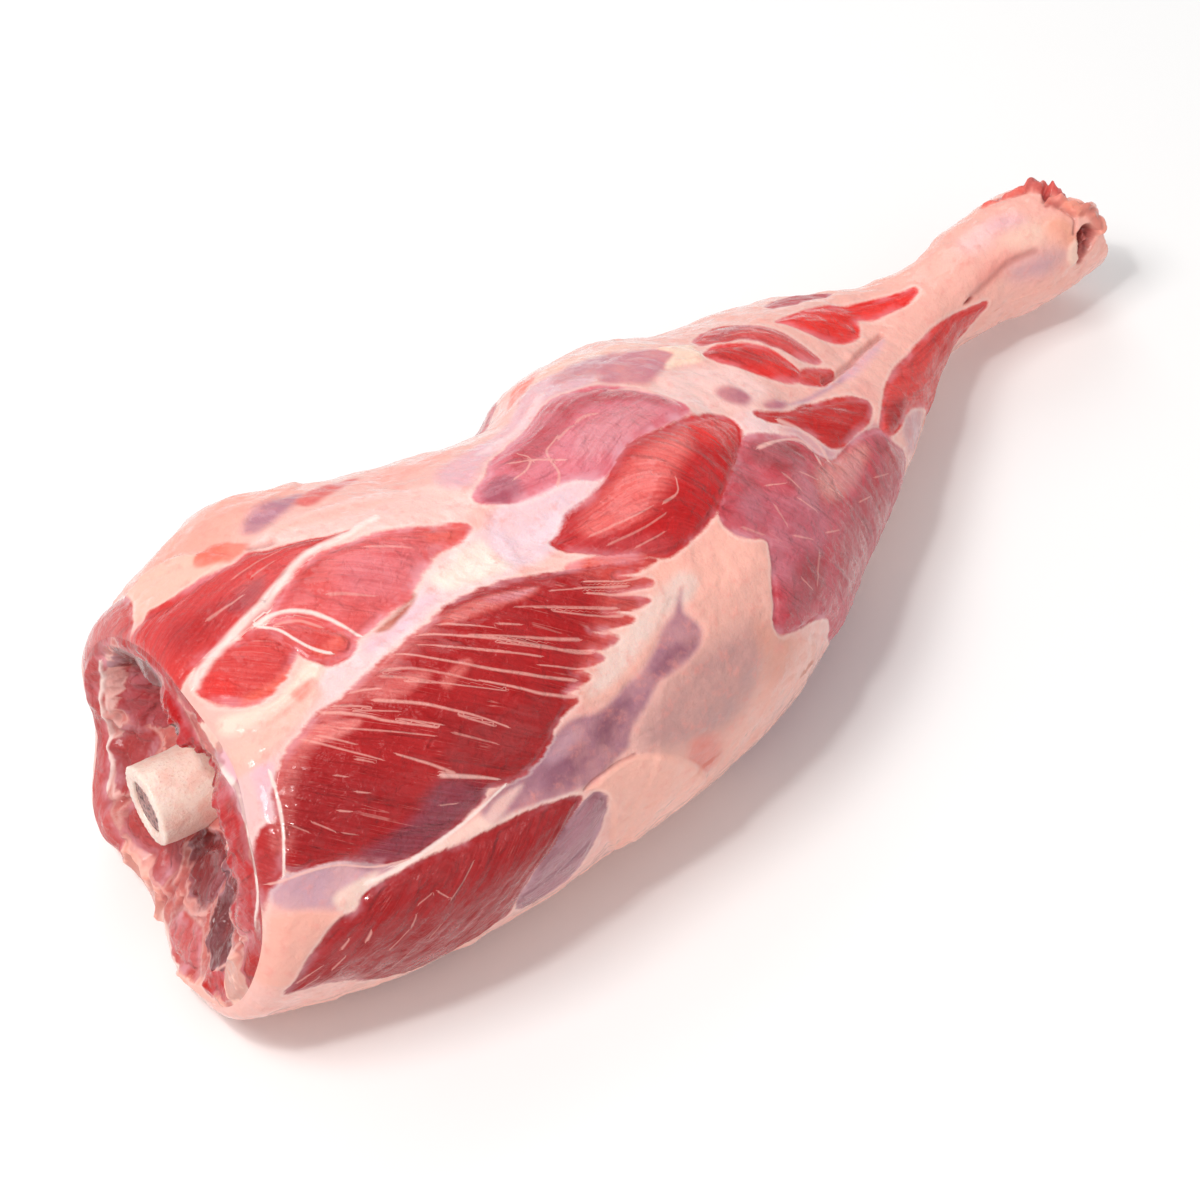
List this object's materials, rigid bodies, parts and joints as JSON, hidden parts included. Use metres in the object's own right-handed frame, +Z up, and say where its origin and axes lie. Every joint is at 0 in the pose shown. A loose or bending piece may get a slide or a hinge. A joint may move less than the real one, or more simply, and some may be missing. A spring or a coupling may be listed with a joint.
{
  "type": "raw leg of lamb",
  "caption": "Raw bone-in leg of lamb lying on its side, with the sawn thigh bone in the hip cut and the slim shank whole to the hock.",
  "frame": {"origin": "on the table, under the middle of the leg's box", "axes": "+X along the leg from the hip cut to the hock, +Y towards the front of the leg, +Z up from the table"},
  "size_m": [0.4012, 0.1566, 0.1018],
  "materials": {
    "raw_meat": "moist raw red muscle with pale fat, silver skin and white seams",
    "bone": "moist cream-pink bone",
    "marrow": "dull brown-red spongy marrow"
  },
  "bodies": {
    "root": {"leg_meat": "raw_meat", "femur": "bone", "marrow": "marrow"}
  },
  "joints": []
}
